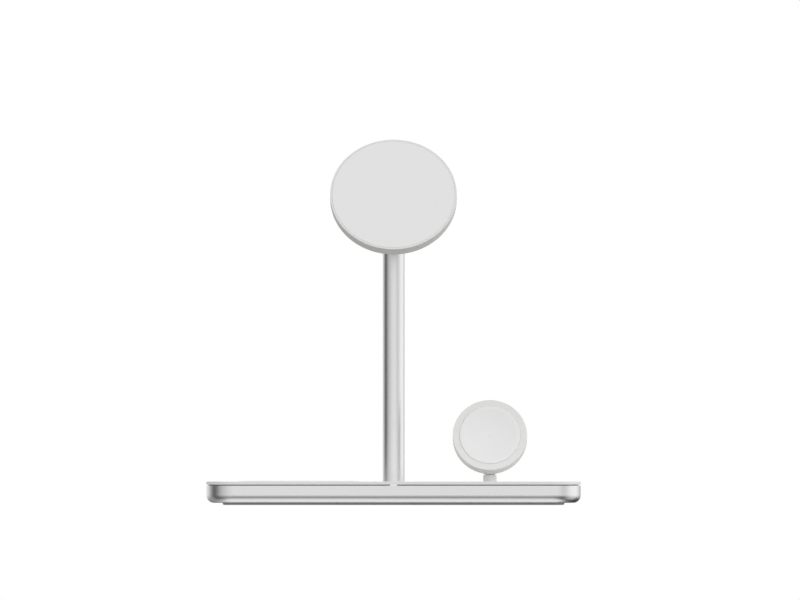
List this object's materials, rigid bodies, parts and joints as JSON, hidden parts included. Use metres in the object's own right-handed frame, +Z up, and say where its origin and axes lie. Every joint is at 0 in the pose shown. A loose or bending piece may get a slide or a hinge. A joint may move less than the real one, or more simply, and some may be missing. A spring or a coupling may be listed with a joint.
{
  "type": "three in one wireless charger",
  "caption": "Desk charging stand: flat base with an earbud pad and a leaning watch holder, and a slim pole with a tilting round phone disc.",
  "frame": {"origin": "middle of the base's footprint, on the surface that it stands on", "axes": "+X to the right seen from the front, +Y to the back, where the power socket is, +Z up along the pole"},
  "size_m": [0.1654, 0.09, 0.1615],
  "materials": {
    "satin_aluminium": "satin bead-blasted, clear anodised",
    "white_polycarbonate": "fine matte moulding",
    "white_silicone": "soft matte",
    "grey_rubber": "matte",
    "black_rubber": "matte",
    "opal_acrylic": "frosted, translucent",
    "steel": "plain zinc plated",
    "magnet_plate": "nickel plated",
    "copper_wire": "enamelled",
    "ferrite": "dull",
    "circuit_board": "solder resist",
    "black_plastic": "moulded",
    "white_nylon": "moulded",
    "lead_jacket": "smooth"
  },
  "bodies": {
    "stand": {"ballast_plate": "steel", "base_tray": "satin_aluminium", "board_chips": "black_plastic", "board_inductors": "ferrite", "board_screws": "steel", "board_spacers": "white_nylon", "cover_screws": "steel", "cover_seal": "black_rubber", "earbud_carrier": "black_plastic", "earbud_coil": "copper_wire", "earbud_ferrite": "ferrite", "earbud_lead": "lead_jacket", "earbud_pad": "white_silicone", "foot_pad": "grey_rubber", "friction_washers": "steel", "hinge_pin": "steel", "lead_connectors": "white_nylon", "light_pipe": "opal_acrylic", "main_board": "circuit_board", "pole_foot": "satin_aluminium", "pole_foot_screws": "steel", "pole_harness": "lead_jacket", "pole_tube": "satin_aluminium", "pole_yoke": "satin_aluminium", "status_led": "white_nylon", "top_plate": "white_polycarbonate", "usb_c_shell": "steel", "usb_c_tongue": "black_plastic", "watch_coil": "copper_wire", "watch_face": "white_polycarbonate", "watch_ferrite": "ferrite", "watch_lead": "lead_jacket", "watch_magnet": "magnet_plate", "watch_stand": "white_polycarbonate", "watch_stand_screws": "steel"},
    "head": {"tilt_lug": "satin_aluminium", "lug_screws": "steel", "head_shell": "white_polycarbonate", "head_face": "white_silicone", "phone_coil": "copper_wire", "phone_ferrite": "ferrite", "phone_magnets": "magnet_plate", "head_carrier": "black_plastic", "head_lead": "lead_jacket"}
  },
  "joints": [
    {"name": "head_tilt", "type": "hinge", "parent": "stand", "child": "head", "pos_m": [0, 0.02, 0.13045], "axis": [-1, 0, 0], "range_deg": [-30, 40]}
  ]
}
